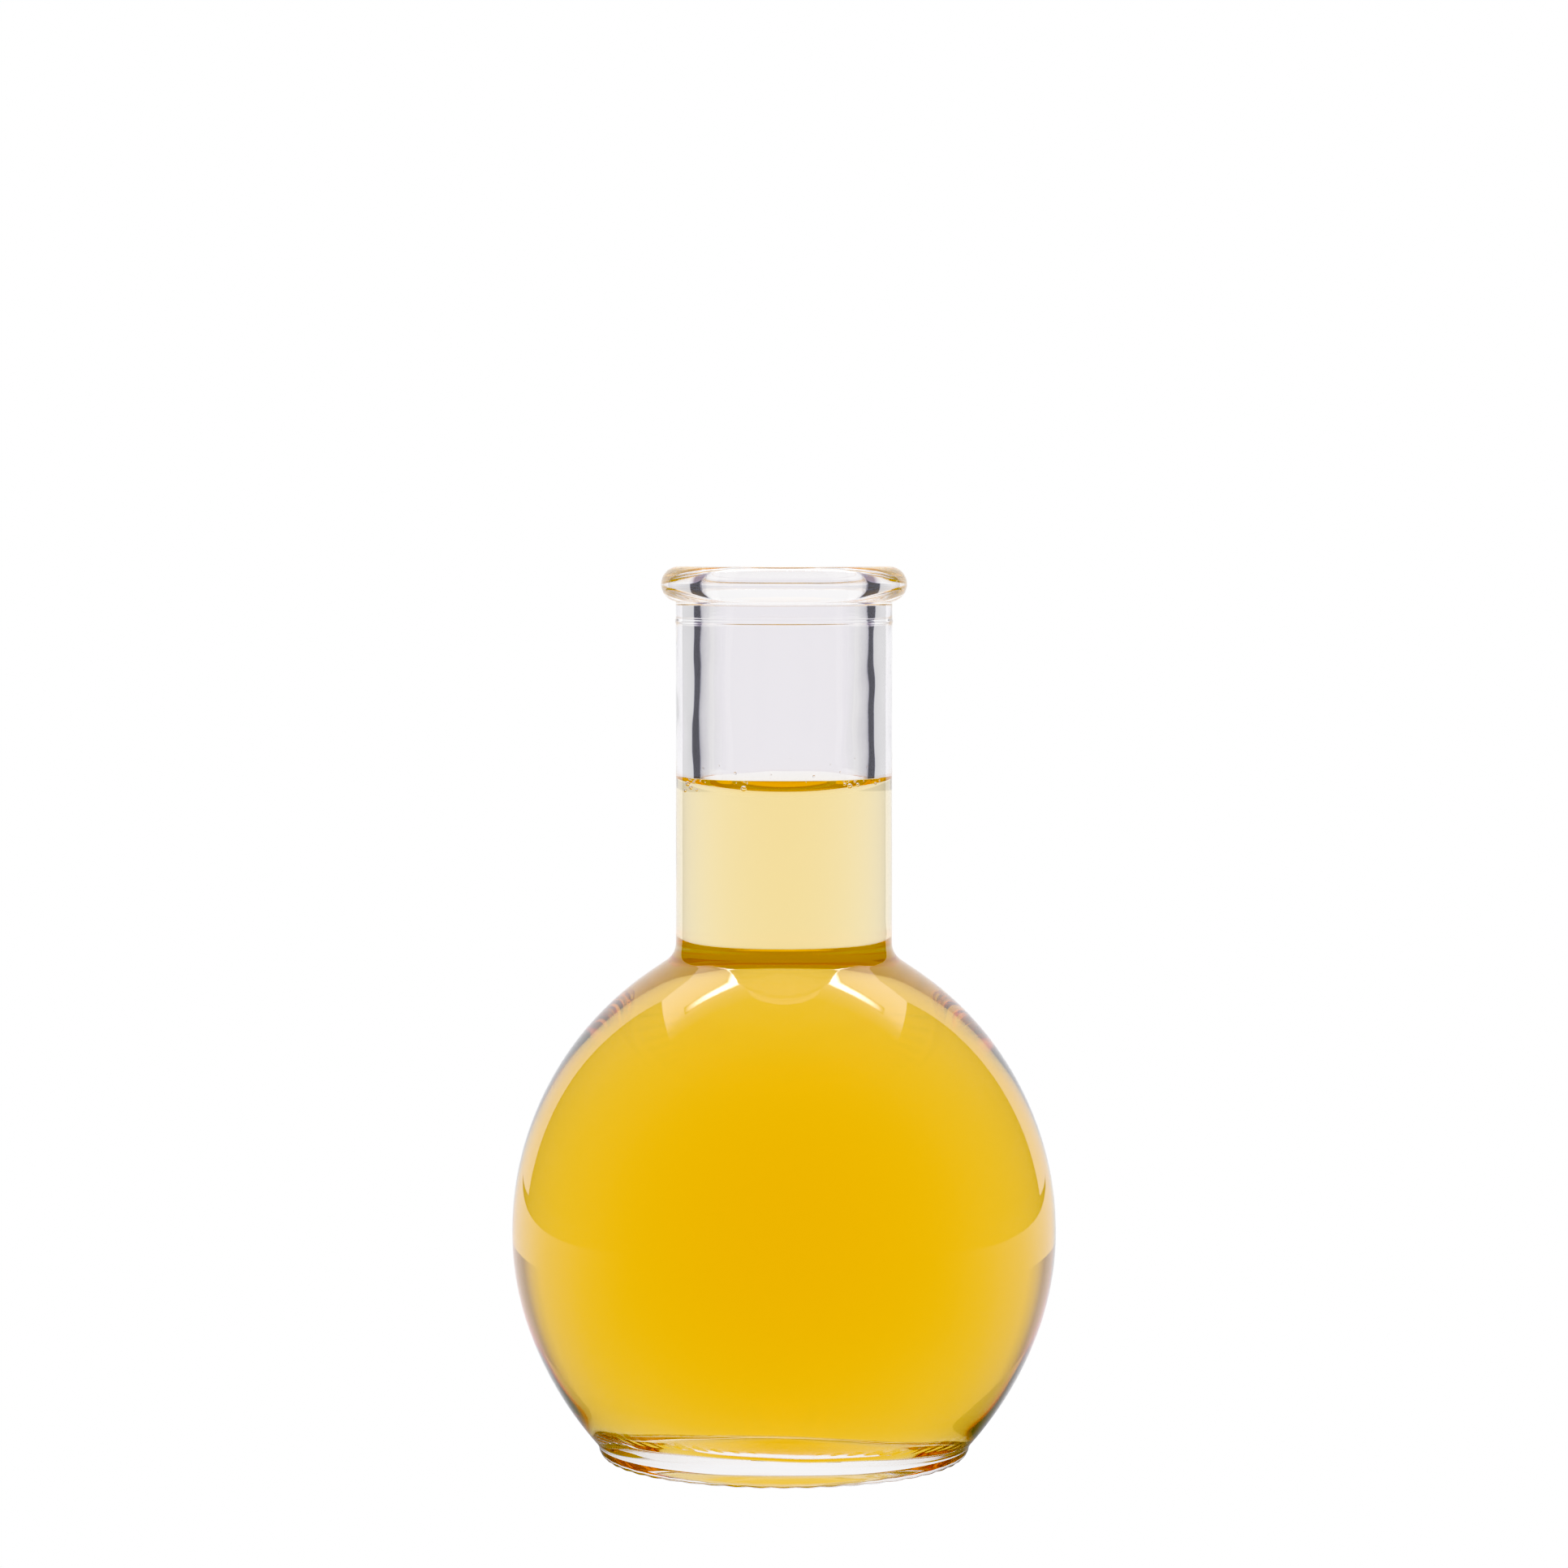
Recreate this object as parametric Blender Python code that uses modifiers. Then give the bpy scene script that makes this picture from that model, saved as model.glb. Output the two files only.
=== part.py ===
"""Globe flask with a flat base: a moulded clear glass body holding a yellow liquid.

Two solids, turned about the Z axis: flask_glass and liquid_fill. Metres, +Z up,
with the base's bearing ring on Z = 0. Every length below is in millimetres.
"""
import math

import bpy

MM = 0.001
TURN_STEPS = 56            # facets round the axis
GAP = 0.3                  # clearance between the liquid and the glass

# Bulb, outside. The widest circle, then arcs up to the shoulder and down to the base.
BULB_R = 31.5
BULB_Z = 26.1
UPPER_ARC = 36.4
SHOULDER_ANGLE = 56.0      # tilt of the shoulder from the vertical where it meets the neck
LOWER_ARC = 33.3
LOWER_ANGLE = 19.0         # where the lower arc hands over to the flatter one
FOOT_ARC = 40.0
FOOT_ANGLE = 41.5

# Base
HEEL_R = 21.4              # widest circle of the base's short rim
HEEL_ROUND = 0.5
BEARING_IN_R = 14.8        # inner edge of the flat ring the flask stands on
PUSH_UP = 4.1              # rise of the hollow under the base
PUSH_POWER = 1.4           # 1 would make the hollow a cone, 2 a shallow dome
FLOOR_EDGE_Z = 4.5         # lowest ring of the inside floor
FLOOR_RISE = 2.4           # how much higher the floor is at the axis
FLOOR_POWER = 1.7
FLOOR_ROUND = 9.6          # how the floor rounds up into the wall

# Neck and lip
NECK_R = 12.5
NECK_FILLET = 3.0
BORE_R = 9.7
LIP_TOP = 103.0
BEAD_ROUND = 2.05
BEAD_R = 12.15             # centre circle of the bead
MOUTH_ROUND = 1.3
SEAM_Z = 96.7              # moulding line under the lip
SEAM_HEIGHT = 0.08
SEAM_HALF_WIDTH = 0.22

# Wall and liquid
WALL = 2.0                 # at the widest circle
FOOT_WALL = 1.75           # next to the floor
SHOULDER_WALL = 3.0        # where the bulb opens into the bore
CORNER_ROUND = 1.8         # inside corner where the bore opens into the bulb
FILL_Z = 76.6              # lowest point of the liquid's surface
MENISCUS_RISE = 2.2        # how far the surface climbs at the wall
MENISCUS_REACH = 2.5


def arc(cx, cz, radius, start, end, count):
    """Points on a circle from one angle to another, in degrees from +X towards +Z."""
    angles = [math.radians(start + (end - start) * i / count) for i in range(count + 1)]
    return [(cx + radius * math.cos(a), cz + radius * math.sin(a)) for a in angles]


def bulb_arcs(offset):
    """Centres and radii of the three bulb arcs, moved inwards by an offset."""
    split = math.radians(LOWER_ANGLE)
    step = FOOT_ARC - LOWER_ARC
    lower_x = BULB_R - LOWER_ARC
    return (
        (BULB_R - UPPER_ARC, BULB_Z, UPPER_ARC - offset),
        (lower_x, BULB_Z, LOWER_ARC - offset),
        (lower_x - step * math.cos(split), BULB_Z + step * math.sin(split), FOOT_ARC - offset),
    )


def outside():
    """Outer side from the flat of the lip down to the axis under the base."""
    upper, lower, foot = bulb_arcs(0.0)
    bead_z = LIP_TOP - BEAD_ROUND
    bead_end = -math.degrees(math.acos((NECK_R - BEAD_R) / BEAD_ROUND))
    tilt = math.radians(SHOULDER_ANGLE)
    shoulder = (upper[0] + upper[2] * math.cos(tilt), upper[1] + upper[2] * math.sin(tilt))
    fillet_x = NECK_R + NECK_FILLET
    end_x = fillet_x - NECK_FILLET * math.cos(tilt)
    end_z = shoulder[1] + (shoulder[0] - end_x) / math.tan(tilt)
    fillet_z = end_z + NECK_FILLET * math.sin(tilt)

    points = arc(BEAD_R, bead_z, BEAD_ROUND, 90, bead_end, 11)
    points += [
        (NECK_R, SEAM_Z + SEAM_HALF_WIDTH),
        (NECK_R + SEAM_HEIGHT, SEAM_Z),
        (NECK_R, SEAM_Z - SEAM_HALF_WIDTH),
    ]
    points += arc(fillet_x, fillet_z, NECK_FILLET, 180, 180 + SHOULDER_ANGLE, 5)
    points += arc(*upper, SHOULDER_ANGLE, 0, 10)
    points += arc(*lower, 0, -LOWER_ANGLE, 4)[1:]
    points += arc(*foot, -LOWER_ANGLE, -FOOT_ANGLE, 4)[1:]
    points += arc(HEEL_R - HEEL_ROUND, HEEL_ROUND, HEEL_ROUND, 15, -90, 3)
    for share in (1.0, 0.8, 0.6, 0.4, 0.2, 0.0):
        points.append((BEARING_IN_R * share, PUSH_UP * (1 - share ** PUSH_POWER)))
    return points


def inside(offset):
    """Inner side from the axis on the floor up to the top of the straight bore."""
    upper, lower, _ = bulb_arcs(WALL + offset)
    foot = bulb_arcs(FOOT_WALL + offset)[2]
    bore = BORE_R - offset

    # The floor ends in a circle that rounds up into the foot arc.
    corner = FLOOR_ROUND
    edge_z = FLOOR_EDGE_Z + offset
    centre_z = edge_z + corner
    reach = foot[2] - corner
    centre_x = foot[0] + math.sqrt(reach ** 2 - (centre_z - foot[1]) ** 2)
    touch = math.degrees(math.asin((centre_z - foot[1]) / reach))
    points = []
    for share in (0.0, 0.25, 0.5, 0.75):
        points.append((centre_x * share, edge_z + FLOOR_RISE * (1 - share ** FLOOR_POWER)))
    points += arc(centre_x, centre_z, corner, -90, touch, 5)
    points += arc(*foot, touch, -LOWER_ANGLE, 3)[1:]

    # The wall thickens from the foot arc up to the widest circle.
    for share in (0.25, 0.5, 0.75, 1.0):
        angle = math.radians(-LOWER_ANGLE * (1 - share))
        reach = lower[2] - (FOOT_WALL - WALL) * (1 - share)
        points.append((lower[0] + reach * math.cos(angle), lower[1] + reach * math.sin(angle)))

    # It thickens more towards the bore, and their edge is rounded.
    round_x = bore + CORNER_ROUND
    extra = SHOULDER_WALL - WALL
    reach = upper[2] - extra + CORNER_ROUND
    round_z = upper[1] + math.sqrt(reach ** 2 - (round_x - upper[0]) ** 2)
    meet = math.acos((round_x - upper[0]) / reach)
    for i in range(1, 10):
        angle = meet * i / 9
        reach = upper[2] - extra * 0.5 * (1 - math.cos(math.pi * i / 9))
        points.append((upper[0] + reach * math.cos(angle), upper[1] + reach * math.sin(angle)))
    points += arc(round_x, round_z, CORNER_ROUND, 180 + math.degrees(meet), 180, 4)[1:]
    return points


def glass_profile():
    rim = arc(BORE_R + MOUTH_ROUND, LIP_TOP - MOUTH_ROUND, MOUTH_ROUND, 180, 90, 3)
    return inside(0.0) + rim + outside()


def liquid_profile():
    """The liquid's dished surface from its middle to the wall, then its side downwards."""
    bore = BORE_R - GAP
    surface = []
    for share in (0.0, 0.5, 0.72, 0.85, 0.93, 1.0):
        rise = MENISCUS_RISE * math.exp((share - 1.0) * bore / MENISCUS_REACH)
        surface.append((share * bore, FILL_Z + rise))
    return surface + inside(GAP)[::-1]


def turned(name, profile, collection, material):
    """A closed solid from a profile whose two ends lie on the Z axis."""
    mesh = bpy.data.meshes.new(name)
    points = [(max(x, 0.0) * MM, 0.0, z * MM) for x, z in profile]
    mesh.from_pydata(points, [(i, i + 1) for i in range(len(points) - 1)], [])
    body = bpy.data.objects.new(name, mesh)
    collection.objects.link(body)
    screw = body.modifiers.new("turn", "SCREW")
    screw.axis = "Z"
    screw.angle = math.tau
    screw.screw_offset = 0.0
    screw.steps = TURN_STEPS
    screw.render_steps = TURN_STEPS
    screw.use_merge_vertices = True
    screw.merge_threshold = 0.00001
    screw.use_normal_calculate = False
    mesh.materials.append(material)
    return body


def smooth(body):
    """Puts the turned shape in the mesh itself and shades it smooth off its edges."""
    mesh = bpy.data.meshes.new_from_object(
        body.evaluated_get(bpy.context.evaluated_depsgraph_get())
    )
    body.modifiers.clear()
    body.data = mesh
    mesh.shade_smooth()
    mesh.set_sharp_from_angle(angle=math.radians(38))


def see_through(name, colour, transmission, roughness, ior):
    material = bpy.data.materials.new(name)
    material.use_nodes = True
    shader = material.node_tree.nodes["Principled BSDF"]
    shader.inputs["Base Color"].default_value = (*colour, 1.0)
    shader.inputs["Transmission Weight"].default_value = transmission
    shader.inputs["Roughness"].default_value = roughness
    shader.inputs["IOR"].default_value = ior
    return material


for old in list(bpy.data.objects):
    bpy.data.objects.remove(old, do_unlink=True)

flask = bpy.data.collections.new("globe_flask")
bpy.context.scene.collection.children.link(flask)

clear_glass = see_through("clear_glass", (0.95, 0.96, 0.96), 1.0, 0.02, 1.52)
yellow_liquid = see_through("yellow_liquid", (0.93, 0.62, 0.02), 0.8, 0.0, 1.36)

glass = turned("flask_glass", glass_profile(), flask, clear_glass)
liquid = turned("liquid_fill", liquid_profile(), flask, yellow_liquid)
bpy.context.view_layer.update()
for piece in (glass, liquid):
    smooth(piece)
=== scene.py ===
import math

import bmesh
import bpy
import numpy as np
from mathutils import Matrix, Vector, noise


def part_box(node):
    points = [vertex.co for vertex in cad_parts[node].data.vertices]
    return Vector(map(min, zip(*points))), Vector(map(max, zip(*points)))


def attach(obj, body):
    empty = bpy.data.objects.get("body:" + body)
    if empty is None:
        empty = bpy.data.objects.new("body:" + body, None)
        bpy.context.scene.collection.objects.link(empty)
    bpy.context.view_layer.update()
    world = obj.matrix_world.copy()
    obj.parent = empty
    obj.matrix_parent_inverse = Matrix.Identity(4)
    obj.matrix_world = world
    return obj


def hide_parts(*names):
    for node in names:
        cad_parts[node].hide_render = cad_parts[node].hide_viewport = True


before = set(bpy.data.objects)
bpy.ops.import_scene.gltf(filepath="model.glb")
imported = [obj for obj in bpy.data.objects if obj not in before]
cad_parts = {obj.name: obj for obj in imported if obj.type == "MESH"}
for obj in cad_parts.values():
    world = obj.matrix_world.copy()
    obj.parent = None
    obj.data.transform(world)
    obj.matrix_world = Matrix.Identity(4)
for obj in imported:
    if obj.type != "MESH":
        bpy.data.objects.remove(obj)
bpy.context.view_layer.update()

# Everything about the flask is in millimetres until its vertices are made.
MM = 0.001
BARS = 48                   # short ribs moulded round the heel
TURNS = 6 * BARS            # columns round the glass

# The CAD box gives the two sizes that everything else hangs on.
LIP_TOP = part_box("flask_glass")[1].z / MM
BULB_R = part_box("flask_glass")[1].x / MM

# Bulb: one arc above the widest circle, and two below it
BULB_Z = 26.1
UPPER_ARC = 36.4
SHOULDER_ANGLE = 56.0       # tilt of the shoulder from the vertical where it meets the neck
LOWER_ARC = 33.3
LOWER_ANGLE = 19.0          # where the lower arc hands over to the flatter one
FOOT_ARC = 40.0
FOOT_ANGLE = 41.5

# Base
HEEL = ((21.55, 1.3), (21.42, 0.85), (21.2, 0.42), (20.85, 0.08))
HEEL_FOOT_R = 20.45         # outer edge of the flat ring the flask stands on
BEARING_IN_R = 14.75        # its inner edge
PUSH_UP = 4.11              # rise of the hollow under the base
PUSH_POWER = 1.4            # 1 would make the hollow a cone, 2 a shallow dome
FLOOR_EDGE_Z = 4.54         # lowest ring of the inside floor
FLOOR_RISE = 2.37           # how much higher the floor is at the axis
FLOOR_POWER = 1.69
FLOOR_ROUND = 9.6           # how the floor rounds up into the wall

# Neck and lip
NECK_R = 12.5
NECK_FILLET = 2.6
BORE_R = 9.7
BEAD_ROUND = 2.05
BEAD_R = 12.15              # centre circle of the bead
MOUTH_ROUND = 1.3
SEAM_Z = 96.7               # moulding line under the lip
SEAM_HEIGHT = 0.08
SEAM_HALF_WIDTH = 0.22

# Wall and liquid
WALL = 2.0                  # at the widest circle
FOOT_WALL = 1.75            # next to the floor
SHOULDER_WALL = 3.0         # where the bulb opens into the bore
CORNER_ROUND = 1.6          # inside corner where the bore opens into the bulb
FILL_Z = 76.6               # lowest point of the liquid's surface
MENISCUS_RISE = 2.2         # how far the surface climbs at the wall
WET_EDGE_Z = FILL_Z + MENISCUS_RISE
CAPILLARY = 2.7             # how fast the liquid's surface falls away from the wall
GAP = 0.02                  # between the liquid and the glass

# How the moulded glass strays from a turned shape. Waves are (amount, size, seed).
FLOOR_WAVES = (0.13, 7.0, 2.2)
FLOOR_TILT = 0.035          # slope of the inside floor, which is higher on the left
TILT_TOP_Z = 16.0           # the floor's slope and waves have died out here
TILT_FADE = 9.0             # over this height
BORE_WAVES = ((0.08, 8.0, 3.1), (0.025, 2.6, 8.4))
BORE_GROW = 3.0             # height over which the bore's waves reach their full size
BORE_MARGIN = 0.2           # bare wall above the liquid's edge without waves
OUTER_WAVES = (0.03, 11.0, 5.7)
OUTER_FROM_Z = 1.2          # the outside is wavy above this height
RIB_HEIGHT = 0.1
RIB_POWER = 0.7             # below 1 makes the ribs wider than the grooves between them
RIB_TOP_Z = 0.4             # only the rings of points below this are ribbed

# Bubbles under the edge of the liquid and droplets above it: (angle, height, radius)
BUBBLES = (
    (243.5, 77.9, 0.33), (246.5, 78.45, 0.11), (239.0, 78.5, 0.09),
    (192.0, 78.1, 0.30), (197.0, 77.7, 0.24), (201.5, 78.35, 0.20), (205.0, 77.5, 0.16),
    (189.0, 77.3, 0.22), (209.0, 78.5, 0.12), (214.0, 78.4, 0.10),
    (311.0, 78.3, 0.20), (315.5, 78.1, 0.30), (319.0, 78.5, 0.16), (322.0, 78.2, 0.22),
    (327.0, 78.55, 0.10), (340.0, 78.2, 0.16), (345.0, 78.45, 0.13), (284.0, 78.6, 0.08),
)
DROPLETS = (
    (238.0, 79.6, 0.17), (289.0, 79.3, 0.15), (262.0, 79.5, 0.08), (307.0, 79.7, 0.10),
    (300.0, 80.6, 0.07), (226.0, 80.4, 0.09), (319.0, 81.2, 0.08), (333.0, 80.1, 0.12),
    (333.0, 83.4, 0.07), (211.0, 80.0, 0.11), (274.0, 81.4, 0.05), (251.0, 82.6, 0.05),
)
DROPLET_DEPTH = 0.55        # a droplet's depth over its width

# Glass and liquid
GLASS_IOR = 1.52
LIQUID_IOR = 1.36
GLASS_TINT = (1.0, 0.991, 0.993, 1)
DRY_WEAR = 0.05             # roughness of the glass where it is most worn
WET_WEAR = 0.03
WEAR_SCALE = 90.0           # patches of wear to a metre
WEAR_DETAIL = 4.0
WEAR_FROM = 0.45            # value of the noise where the wear begins
WEAR_FULL = 0.75            # and where it is at its most
LIQUID_COLOUR = (0.967, 0.768, 0.0)
LIQUID_DENSITY = 50.0       # per metre

# Studio, in metres. The flask is clear, so it shows what is round it: a white floor and wall, a
# soft ceiling with one bright strip, and darker sides.
DEPTH = 0.56                # from the flask to the back wall
WIDE = 0.9 * DEPTH          # half the width of the wall and ceiling
MIDDLE = 0.05               # height of the flask's middle
DROP = 1.15 * DEPTH         # from the ceiling down to the flask's middle
HIGH = MIDDLE + DROP
CEILING_NEAR = 0.12 * DROP
STRIP_HALF = 0.62 * DROP
STRIP_NEAR = 0.33 * DROP
STRIP_FAR = 0.43 * DROP
STRIP_Z = HIGH - 0.002      # it hangs just under the ceiling
FLOOR_REACH = 4.0
FLOOR_Z = -5e-5             # just under the flask's base, so that the two don't touch
MIRROR_HALF = 0.30          # the part of the floor that reflections see
MIRROR_NEAR = -0.3
SCREEN_R = 0.16             # a grey screen round the back of the empty neck, with a black bar
SCREEN_TURN = 85            # degrees that it reaches round to each side
SCREEN_LOW = 0.068
SCREEN_HIGH = 0.107

# Brightness along the ceiling and the strip, by distance over DROP: (place, value)
CEILING_STRENGTH = 2.1
CEILING_FADE = ((0.14, 0.0), (0.27, 0.25), (0.40, 0.85), (0.6, 1.0))
STRIP_STRENGTH = 15.0
STRIP_FADE = ((0.33, 0.0), (0.36, 1.0), (0.395, 1.0), (0.43, 0.0))
STRIP_ENDS = ((0.0, 1.0), (0.42, 1.0), (0.62, 0.0))

# Brightness or colour by angle from straight back: (degrees, value)
BLUE_BLACK = (0.055, 0.055, 0.13)
PALE_MAUVE = (0.8, 0.77, 0.82)
MAUVE = (0.34, 0.29, 0.38)
SCREEN_GREY = (0.91, 0.9, 0.93)
MIRROR_FADE = ((36, 1.0), (54, 0.82), (70, 0.48), (86, 0.29), (105, 0.1), (120, 0.0))
SCREEN_FADE = (
    (0, SCREEN_GREY), (14, SCREEN_GREY), (20, 0.86), (30, 0.80), (40, 0.74), (48, 0.69),
    (49.5, BLUE_BLACK), (78, BLUE_BLACK), (81, 0.7), (85, 0.75),
)
WORLD_FADE = (
    (0, 1.0), (42, 1.0), (48, PALE_MAUVE), (54, MAUVE), (70, MAUVE), (82, 0.85), (100, 0.95),
    (180, 0.95),
)
FRONT_Y = -0.1              # a direction with a smaller Y than this goes to the front
FRONT_DIM = 0.53            # a ray mirrored inside the glass sees this share of the front
WORLD_LEAST = 0.03          # what reflections and diffuse rays see of the world

# The display's blue channel: (in, out). It loses its deepest shadows, as the deep yellow has
# none of it.
BLUE_TOE = ((0.04, 0.0), (0.07, 0.004), (0.12, 0.06), (0.24, 0.22), (0.36, 0.36))

BOUNCES = 64
CLEAR_BOUNCES = 32
CAMERA_PLACE = (0.0, -0.552, 0.1078)
CAMERA_DOWN = 3.1           # degrees below level
SENSOR = 36.0
LENS = 110.06832


def arc(cx, cz, radius, start, end, count):
    """Points on a circle from one angle to another, in degrees from +X towards +Z."""
    angles = np.radians(np.linspace(start, end, count + 1))
    return np.stack([cx + radius * np.cos(angles), cz + radius * np.sin(angles)], 1)


def line(a, b, count):
    t = np.linspace(0, 1, count + 1)[:, None]
    return np.array(a) * (1 - t) + np.array(b) * t


def joined(*parts):
    """One outline from several, without doubled points where two of them meet."""
    points = [parts[0]]
    for part in parts[1:]:
        gap = np.linalg.norm(part[0] - points[-1][-1])
        points.append(part[1:] if gap < 1e-6 else part)
    return np.concatenate(points)


def bulb_arcs(offset):
    """Centres and radii of the three bulb arcs, moved inwards by an offset."""
    split = math.radians(LOWER_ANGLE)
    step = FOOT_ARC - LOWER_ARC
    lower_x = BULB_R - LOWER_ARC
    return (
        (BULB_R - UPPER_ARC, BULB_Z, UPPER_ARC - offset),
        (lower_x, BULB_Z, LOWER_ARC - offset),
        (lower_x - step * math.cos(split), BULB_Z + step * math.sin(split), FOOT_ARC - offset),
    )


def outside():
    """Outer side from the flat of the lip down to the axis under the base."""
    upper, lower, foot = bulb_arcs(0.0)
    bead_z = LIP_TOP - BEAD_ROUND
    bead_end = -math.degrees(math.acos((NECK_R - BEAD_R) / BEAD_ROUND))
    tilt = math.radians(SHOULDER_ANGLE)
    shoulder = (upper[0] + upper[2] * math.cos(tilt), upper[1] + upper[2] * math.sin(tilt))
    fillet_x = NECK_R + NECK_FILLET
    end_x = fillet_x - NECK_FILLET * math.cos(tilt)
    end_z = shoulder[1] + (shoulder[0] - end_x) / math.tan(tilt)
    fillet_z = end_z + NECK_FILLET * math.sin(tilt)
    bead = arc(BEAD_R, bead_z, BEAD_ROUND, 90, bead_end, 26)
    across = np.linspace(-3, 3, 19)  # in half widths of the seam
    seam = np.stack(
        [NECK_R + SEAM_HEIGHT * np.exp(-across ** 2), SEAM_Z - SEAM_HALF_WIDTH * across], 1
    )
    share = np.linspace(1, 0, 30)
    hollow = np.stack([BEARING_IN_R * share, PUSH_UP * (1 - share ** PUSH_POWER)], 1)
    return joined(
        bead,
        line(bead[-1], seam[0], 4),
        seam,
        line(seam[-1], (NECK_R, fillet_z), 26),
        arc(fillet_x, fillet_z, NECK_FILLET, 180, 180 + SHOULDER_ANGLE, 14),
        arc(*upper, SHOULDER_ANGLE, 0, 34),
        arc(*lower, 0, -LOWER_ANGLE, 10),
        arc(*foot, -LOWER_ANGLE, -FOOT_ANGLE, 14),
        np.array(HEEL),
        line((HEEL_FOOT_R, 0.0), (BEARING_IN_R, 0.0), 5),
        hollow,
    )


def thickening(centre, reach, angles):
    """Points round a centre at a reach that changes on the way; angles in radians."""
    return np.stack([centre[0] + reach * np.cos(angles), centre[1] + reach * np.sin(angles)], 1)


def inside(offset):
    """Inner side from the axis on the floor up to the edge of the liquid."""
    upper, lower, _ = bulb_arcs(WALL + offset)
    foot = bulb_arcs(FOOT_WALL + offset)[2]

    # The floor ends in a circle that rounds up into the foot arc.
    edge_z = FLOOR_EDGE_Z + offset
    centre_z = edge_z + FLOOR_ROUND
    reach = foot[2] - FLOOR_ROUND
    centre_x = foot[0] + math.sqrt(reach ** 2 - (centre_z - foot[1]) ** 2)
    touch = math.degrees(math.asin((centre_z - foot[1]) / reach))
    share = np.linspace(0, 1, 25)
    floor = np.stack([centre_x * share, edge_z + FLOOR_RISE * (1 - share ** FLOOR_POWER)], 1)

    # The wall thickens from the foot arc up to the widest circle.
    share = np.linspace(0, 1, 15)
    reach = lower[2] - (FOOT_WALL - WALL) * 0.5 * (1 + np.cos(math.pi * share))
    belly = thickening(lower, reach, np.radians(-LOWER_ANGLE * (1 - share)))

    # It thickens more towards the bore, and their edge is rounded.
    bore = BORE_R - offset
    extra = SHOULDER_WALL - WALL
    round_x = bore + CORNER_ROUND
    reach = upper[2] - extra + CORNER_ROUND
    round_z = upper[1] + math.sqrt(reach ** 2 - (round_x - upper[0]) ** 2)
    meet = math.degrees(math.acos((round_x - upper[0]) / reach))
    corner = arc(round_x, round_z, CORNER_ROUND, 180 + meet, 180, 10)
    share = np.linspace(0, 1, 35)
    reach = upper[2] - extra * 0.5 * (1 - np.cos(math.pi * share))
    dome = thickening(upper, reach, np.radians(meet * share))
    return joined(
        floor,
        arc(centre_x, centre_z, FLOOR_ROUND, -90, touch, 8),
        arc(*foot, touch, -LOWER_ANGLE, 8),
        belly,
        dome,
        corner,
        line(corner[-1], (bore, WET_EDGE_Z), 16),
    )


def glass_profile():
    """The glass's outline, and how many of its first points the liquid touches."""
    wet = inside(0.0)
    rim = arc(BORE_R + MOUTH_ROUND, LIP_TOP - MOUTH_ROUND, MOUTH_ROUND, 180, 90, 10)
    dry = joined(line(wet[-1], rim[0], 30), rim)
    return joined(wet, dry, outside()), len(wet)


def meniscus(bore):
    """The curve of a liquid that climbs a wall, from the axis to the wall.

    The points crowd towards the wall, where the curve is steepest.
    """
    r = bore * (1 - np.linspace(0, 1, 31) ** 1.3)
    climb = (np.i0(r / CAPILLARY) - 1) / (np.i0(bore / CAPILLARY) - 1)
    return np.stack([r, FILL_Z + MENISCUS_RISE * climb], 1)[::-1]


def liquid_profile():
    """The liquid's outline, and how many of its first points are on its open surface."""
    surface = meniscus(BORE_R - GAP)
    return joined(surface, inside(GAP)[::-1]), len(surface)


def turned(name, profile, materials, slots, shape):
    """Turns a profile that starts and ends on the axis.

    slots gives the material of each ring of faces, and shape moves the points of the grid.
    """
    rings = len(profile) - 2
    phi = np.linspace(0, math.tau, TURNS, endpoint=False)
    r = np.repeat(profile[1:-1, :1], TURNS, 1)
    z = np.repeat(profile[1:-1, 1:], TURNS, 1)
    r, z = shape(r, z, phi)
    grid = np.stack([r * np.cos(phi), r * np.sin(phi), z], 2).reshape(-1, 3)
    verts = np.concatenate([[[0, 0, profile[0, 1]]], grid, [[0, 0, profile[-1, 1]]]]) * MM
    last = len(verts) - 1
    here = list(range(TURNS))
    beside = here[1:] + here[:1]
    faces = [(0, 1 + c, 1 + d) for c, d in zip(here, beside)]
    for ring in range(rings - 1):
        a = 1 + ring * TURNS
        b = a + TURNS
        faces += [(a + c, b + c, b + d, a + d) for c, d in zip(here, beside)]
    a = 1 + (rings - 1) * TURNS
    faces += [(last, a + d, a + c) for c, d in zip(here, beside)]
    mesh = bpy.data.meshes.new(name)
    mesh.from_pydata(verts.tolist(), [], faces)
    for material in materials:
        mesh.materials.append(material)
    mesh.polygons.foreach_set("material_index", np.repeat(slots, TURNS))
    mesh.shade_smooth()
    mesh.update()
    body = bpy.data.objects.new(name, mesh)
    bpy.context.scene.collection.objects.link(body)
    return body


def waves(r, z, phi, amount, size, seed):
    """Smooth noise on the points of a turned grid."""
    points = np.stack([r * np.cos(phi), r * np.sin(phi), z], 2).reshape(-1, 3) / size
    values = [noise.noise(Vector(p) + Vector((seed, seed, seed))) for p in points.tolist()]
    return amount * np.array(values).reshape(r.shape)


def tilt_floor(r, z, phi):
    """Leans the inside floor and makes it a little uneven; it dies out up the wall."""
    fade = np.clip((TILT_TOP_Z - z) / TILT_FADE, 0, 1) ** 2
    x = r * np.cos(phi)
    return z + fade * (waves(r, np.zeros_like(z), phi, *FLOOR_WAVES) - FLOOR_TILT * x)


def shape_liquid(r, z, phi):
    """The liquid follows the glass's floor."""
    low = z[:, 0] < TILT_TOP_Z
    z = z.copy()
    z[low] = tilt_floor(r[low], z[low], phi)
    return r, z


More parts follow.
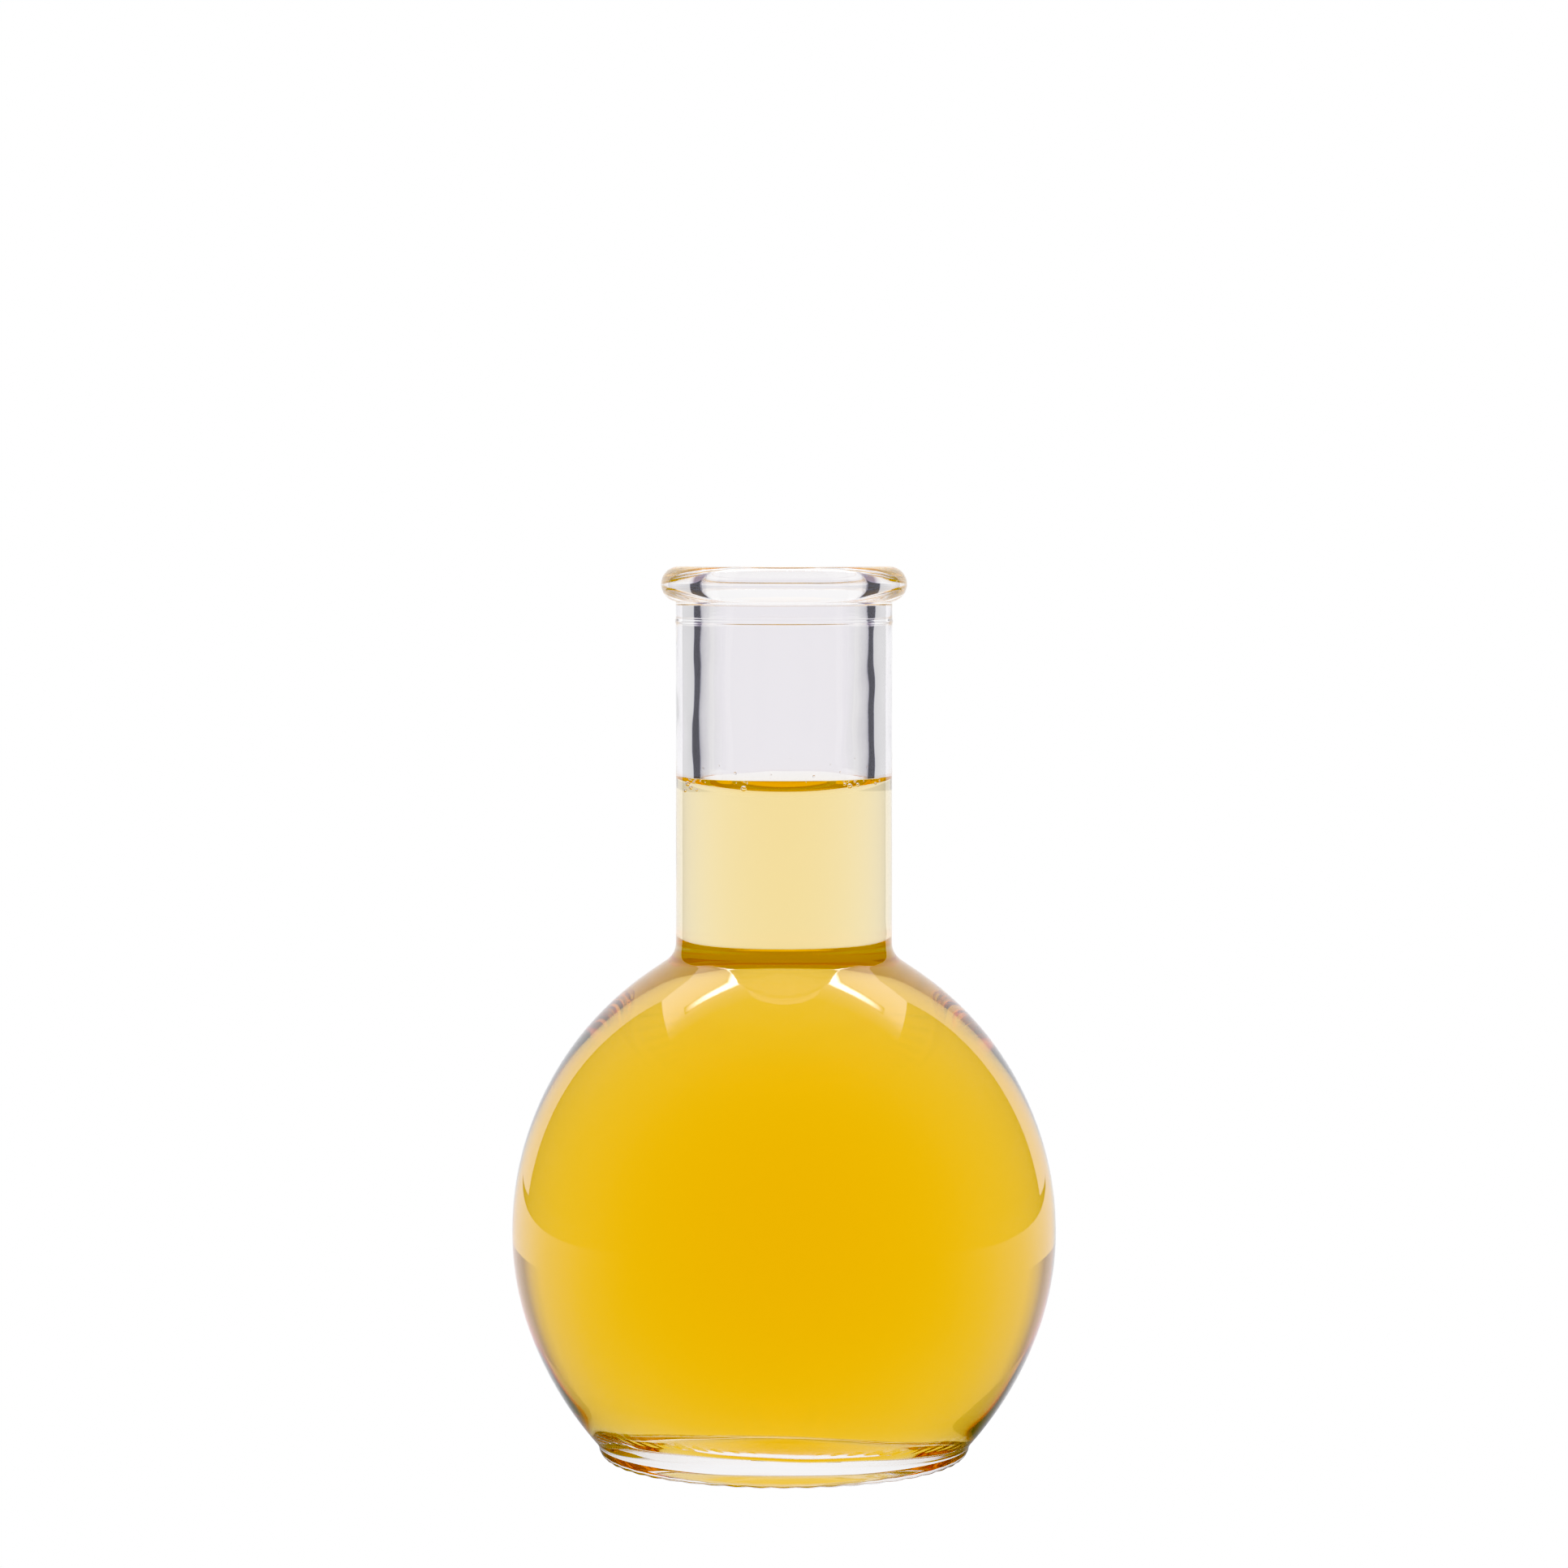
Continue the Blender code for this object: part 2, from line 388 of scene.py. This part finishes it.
def shape_glass(r, z, phi):
    """Uneven floor, wavy bore and outside, and the ribs round the heel."""
    r = r.copy()
    z = z.copy()
    height = z[:, 0].copy()
    inner = np.arange(len(r)) < len(r) + 1 - len(outside())
    bore = inner & (height > WET_EDGE_Z + BORE_MARGIN)
    grow = np.clip((z[bore] - WET_EDGE_Z) / BORE_GROW, 0, 1)
    r[bore] += grow * sum(waves(r[bore], z[bore], phi, *wave) for wave in BORE_WAVES)
    low = inner & (height < TILT_TOP_Z)
    z[low] = tilt_floor(r[low], z[low], phi)
    out = ~inner & (height > OUTER_FROM_Z)
    r[out] -= OUTER_WAVES[0] + waves(r[out], z[out], phi, *OUTER_WAVES)
    heel = ~inner & (height < RIB_TOP_Z) & (r[:, 0] >= BEARING_IN_R)
    rib = (0.5 + 0.5 * np.cos(BARS * phi)) ** RIB_POWER
    z[heel] += RIB_HEIGHT * (1 - rib)
    return r, z


def add_beads(mesh, beads, inward):
    """Adds small round shells by (angle in degrees, height, radius), against the bore's wall.

    Shells that face inward are bubbles in the liquid, and the others are droplets on the wall.
    """
    work = bmesh.new()
    work.from_mesh(mesh)
    depth = 1.0 if inward else DROPLET_DEPTH
    for angle, height, radius in beads:
        away = BORE_R - 2 * GAP - radius * depth
        turn = Matrix.Rotation(math.radians(angle), 4, "Z")
        flat = Matrix.Diagonal((depth, 1, 1, 1))
        place = turn @ Matrix.Translation((away * MM, 0, height * MM)) @ flat
        made = bmesh.ops.create_icosphere(work, subdivisions=3, radius=radius * MM, matrix=place)
        faces = {face for vert in made["verts"] for face in vert.link_faces}
        if inward:
            bmesh.ops.reverse_faces(work, faces=list(faces))
        for face in faces:
            face.smooth = True
    work.to_mesh(mesh)
    work.free()


def clear_material(name, ior, colour=(1, 1, 1, 1)):
    material = bpy.data.materials.new(name)
    material.use_nodes = True
    shader = material.node_tree.nodes["Principled BSDF"]
    shader.inputs["Base Color"].default_value = colour
    shader.inputs["Transmission Weight"].default_value = 1.0
    shader.inputs["Roughness"].default_value = 0.0
    shader.inputs["IOR"].default_value = ior
    return material


def worn_glass(name, ior, wear):
    """Glass with fine wear: faint cloudy patches of roughness."""
    material = clear_material(name, ior, GLASS_TINT)
    tree = material.node_tree
    place = tree.nodes.new("ShaderNodeTexCoord")
    patches = tree.nodes.new("ShaderNodeTexNoise")
    patches.inputs["Scale"].default_value = WEAR_SCALE
    patches.inputs["Detail"].default_value = WEAR_DETAIL
    tree.links.new(place.outputs["Object"], patches.inputs["Vector"])
    spread = tree.nodes.new("ShaderNodeMapRange")
    spread.inputs["From Min"].default_value = WEAR_FROM
    spread.inputs["From Max"].default_value = WEAR_FULL
    spread.inputs["To Min"].default_value = 0.0
    spread.inputs["To Max"].default_value = wear
    tree.links.new(patches.outputs["Fac"], spread.inputs["Value"])
    tree.links.new(spread.outputs["Result"], tree.nodes["Principled BSDF"].inputs["Roughness"])
    return material


def liquid_material():
    """The liquid bends light only at its open surface, its bubbles and its droplets.

    Where it wets the glass the bend is the glass's, so there the face's own index is 1.
    """
    material = clear_material("yellow_liquid", LIQUID_IOR)
    tree = material.node_tree
    index = tree.nodes.new("ShaderNodeAttribute")
    index.attribute_name = "index"
    tree.links.new(index.outputs["Fac"], tree.nodes["Principled BSDF"].inputs["IOR"])
    volume = tree.nodes.new("ShaderNodeVolumeAbsorption")
    volume.inputs["Color"].default_value = (*LIQUID_COLOUR, 1)
    volume.inputs["Density"].default_value = LIQUID_DENSITY
    tree.links.new(volume.outputs[0], tree.nodes["Material Output"].inputs["Volume"])
    return material


def make_glass():
    dry = worn_glass("clear_glass", GLASS_IOR, DRY_WEAR)
    wet = worn_glass("wetted_glass", GLASS_IOR / LIQUID_IOR, WET_WEAR)
    profile, wet_count = glass_profile()
    slots = [1 if i < wet_count - 1 else 0 for i in range(len(profile) - 1)]
    glass = turned("flask_glass_body", profile, [dry, wet], slots, shape_glass)
    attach(glass, "root")
    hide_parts("flask_glass")


def make_liquid():
    profile, top_count = liquid_profile()
    slots = [0] * (len(profile) - 1)
    liquid = turned("liquid_body", profile, [liquid_material()], slots, shape_liquid)
    surface_faces = (top_count - 1) * TURNS
    turned_faces = len(liquid.data.polygons)
    add_beads(liquid.data, BUBBLES, inward=True)
    add_beads(liquid.data, DROPLETS, inward=False)
    number = np.arange(len(liquid.data.polygons))
    bends = (number < surface_faces) | (number >= turned_faces)
    index = np.where(bends, LIQUID_IOR, 1.0)
    layer = liquid.data.attributes.new("index", "FLOAT", "FACE")
    layer.data.foreach_set("value", index.astype(np.float32))
    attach(liquid, "root")
    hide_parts("liquid_fill")


def glow(name):
    """A white lamp of strength 1."""
    material = bpy.data.materials.new(name)
    material.use_nodes = True
    tree = material.node_tree
    tree.nodes.remove(tree.nodes["Principled BSDF"])
    lamp = tree.nodes.new("ShaderNodeEmission")
    lamp.inputs["Color"].default_value = (1, 1, 1, 1)
    lamp.inputs["Strength"].default_value = 1.0
    tree.links.new(lamp.outputs[0], tree.nodes["Material Output"].inputs["Surface"])
    return material


def panel(name, corners, material, *seen):
    """A sheet through pairs of corners; four of them make one flat panel.

    It is seen by the camera, in reflections, through the glass, by diffuse rays, or several.
    """
    mesh = bpy.data.meshes.new(name)
    steps = range(0, len(corners) - 2, 2)
    mesh.from_pydata(corners, [], [(i, i + 1, i + 3, i + 2) for i in steps])
    mesh.materials.append(material)
    body = bpy.data.objects.new(name, mesh)
    bpy.context.scene.collection.objects.link(body)
    body.visible_camera = "camera" in seen
    body.visible_glossy = "reflection" in seen
    body.visible_transmission = "glass" in seen
    body.visible_diffuse = "diffuse" in seen
    body.visible_shadow = False


def ramp(tree, source, stops):
    """A colour ramp; stops are (position, colour), and a colour can be one grey value."""
    node = tree.nodes.new("ShaderNodeValToRGB")
    points = node.color_ramp.elements
    while len(points) < len(stops):
        points.new(0.5)
    for point, (position, value) in zip(points, stops):
        point.position = position
        point.color = (*np.broadcast_to(value, 3), 1)
    tree.links.new(source, node.inputs[0])
    return node.outputs[0]


def math_node(tree, operation, *values):
    node = tree.nodes.new("ShaderNodeMath")
    node.operation = operation
    for socket, value in zip(node.inputs, values):
        if isinstance(value, (int, float)):
            socket.default_value = value
        else:
            tree.links.new(value, socket)
    return node.outputs[0]


def separate(tree, vector):
    axes = tree.nodes.new("ShaderNodeSeparateXYZ")
    tree.links.new(vector, axes.inputs[0])
    return axes.outputs


def lamp_place(tree):
    """The X, Y and Z of the lamp's own surface in the room."""
    return separate(tree, tree.nodes.new("ShaderNodeNewGeometry").outputs["Position"])


def by_turn(tree, axes, stops):
    """A ramp by how far round from straight back a point or direction is, in degrees."""
    side = math_node(tree, "ABSOLUTE", axes["X"])
    angle = math_node(tree, "ARCTAN2", side, axes["Y"])
    share = math_node(tree, "DIVIDE", angle, math.pi)
    return ramp(tree, share, [(degrees / 180, value) for degrees, value in stops])


def glow_by_turn(name, stops):
    """A lamp whose colour changes with the way from the flask to it."""
    material = glow(name)
    tree = material.node_tree
    light = by_turn(tree, lamp_place(tree), stops)
    tree.links.new(light, tree.nodes["Emission"].inputs["Color"])
    return material


def soft_box(name, strength, away, ends=None):
    """A lamp that fades with the distance behind the flask, and towards its two ends if asked."""
    material = glow(name)
    tree = material.node_tree
    axes = lamp_place(tree)
    along = ramp(tree, math_node(tree, "DIVIDE", axes["Y"], DROP), away)
    light = math_node(tree, "MULTIPLY", along, strength)
    if ends:
        side = math_node(tree, "ABSOLUTE", axes["X"])
        across = ramp(tree, math_node(tree, "DIVIDE", side, DROP), ends)
        light = math_node(tree, "MULTIPLY", light, across)
    tree.links.new(light, tree.nodes["Emission"].inputs["Strength"])
    return material


def level(xs, ys, z):
    """The corners of a level panel, in pairs."""
    return [(x, y, z) for x in xs for y in ys]


def build_studio():
    reach = (-FLOOR_REACH, FLOOR_REACH)
    panel("studio_floor", level(reach, reach, FLOOR_Z), glow("white"), "camera", "diffuse")
    panel(
        "floor_reflected",
        level((-MIRROR_HALF, MIRROR_HALF), (MIRROR_NEAR, DEPTH), 0),
        glow_by_turn("floor_glow", MIRROR_FADE),
        "reflection",
    )
    wall = [(x, DEPTH, z) for x in (-WIDE, WIDE) for z in (0, HIGH)]
    panel("back_wall", wall, glow("wall_glow"), "reflection")
    panel(
        "ceiling",
        level((-WIDE, WIDE), (CEILING_NEAR, DEPTH), HIGH),
        soft_box("ceiling_glow", CEILING_STRENGTH, CEILING_FADE),
        "reflection",
    )
    panel(
        "strip",
        level((-STRIP_HALF, STRIP_HALF), (STRIP_NEAR, STRIP_FAR), STRIP_Z),
        soft_box("strip_glow", STRIP_STRENGTH, STRIP_FADE, STRIP_ENDS),
        "reflection",
    )
    angles = np.radians(np.linspace(-SCREEN_TURN, SCREEN_TURN, 35))
    edge = [(SCREEN_R * math.sin(a), SCREEN_R * math.cos(a)) for a in angles]
    panel(
        "screen",
        [(x, y, z) for x, y in edge for z in (SCREEN_LOW, SCREEN_HIGH)],
        glow_by_turn("screen_glow", SCREEN_FADE),
        "glass",
    )


def studio_world():
    """White to the camera, and below the horizon; mauve to the sides through the glass.

    Reflections see almost nothing of it.
    """
    world = bpy.data.worlds.new("studio")
    world.use_nodes = True
    tree = world.node_tree
    background = tree.nodes["Background"]
    path = tree.nodes.new("ShaderNodeLightPath").outputs
    axes = separate(tree, tree.nodes.new("ShaderNodeTexCoord").outputs["Generated"])

    below = math_node(tree, "LESS_THAN", axes["Z"], 0.0)
    plain = math_node(tree, "MAXIMUM", below, path["Is Camera Ray"])
    colour = tree.nodes.new("ShaderNodeMixRGB")
    colour.inputs["Color2"].default_value = (1, 1, 1, 1)
    tree.links.new(plain, colour.inputs["Fac"])
    tree.links.new(by_turn(tree, axes, WORLD_FADE), colour.inputs["Color1"])
    tree.links.new(colour.outputs[0], background.inputs["Color"])

    # A Glossy Depth over 0.5 means that the ray was mirrored at least once.
    front = math_node(tree, "LESS_THAN", axes["Y"], FRONT_Y)
    mirrored = math_node(tree, "GREATER_THAN", path["Glossy Depth"], 0.5)
    shade = math_node(tree, "MULTIPLY", front, mirrored)
    keep = math_node(tree, "MULTIPLY_ADD", shade, FRONT_DIM - 1.0, 1.0)
    through = math_node(tree, "MULTIPLY", keep, path["Is Transmission Ray"])
    direct = math_node(tree, "MAXIMUM", through, path["Is Camera Ray"])
    light = math_node(tree, "MAXIMUM", direct, WORLD_LEAST)
    tree.links.new(light, background.inputs["Strength"])
    return world


def set_display(scene):
    scene.view_settings.view_transform = "Standard"
    scene.view_settings.use_curve_mapping = True
    curves = scene.view_settings.curve_mapping
    blue = curves.curves[2]
    for x, y in BLUE_TOE:
        blue.points.new(x, y)
    curves.update()


def set_bounces(scene):
    """Light runs round inside the thick glass many times before it comes out."""
    scene.cycles.max_bounces = BOUNCES
    scene.cycles.transmission_bounces = BOUNCES
    scene.cycles.glossy_bounces = BOUNCES
    scene.cycles.transparent_max_bounces = CLEAR_BOUNCES


def add_camera(scene):
    camera = bpy.data.objects.new("camera", bpy.data.cameras.new("camera"))
    camera.data.sensor_width = SENSOR
    camera.data.lens = LENS
    camera.location = CAMERA_PLACE
    camera.rotation_euler = (math.radians(90 - CAMERA_DOWN), 0, 0)
    scene.collection.objects.link(camera)
    scene.camera = camera


make_glass()
make_liquid()
build_studio()
scene = bpy.context.scene
scene.world = studio_world()
set_display(scene)
set_bounces(scene)
add_camera(scene)
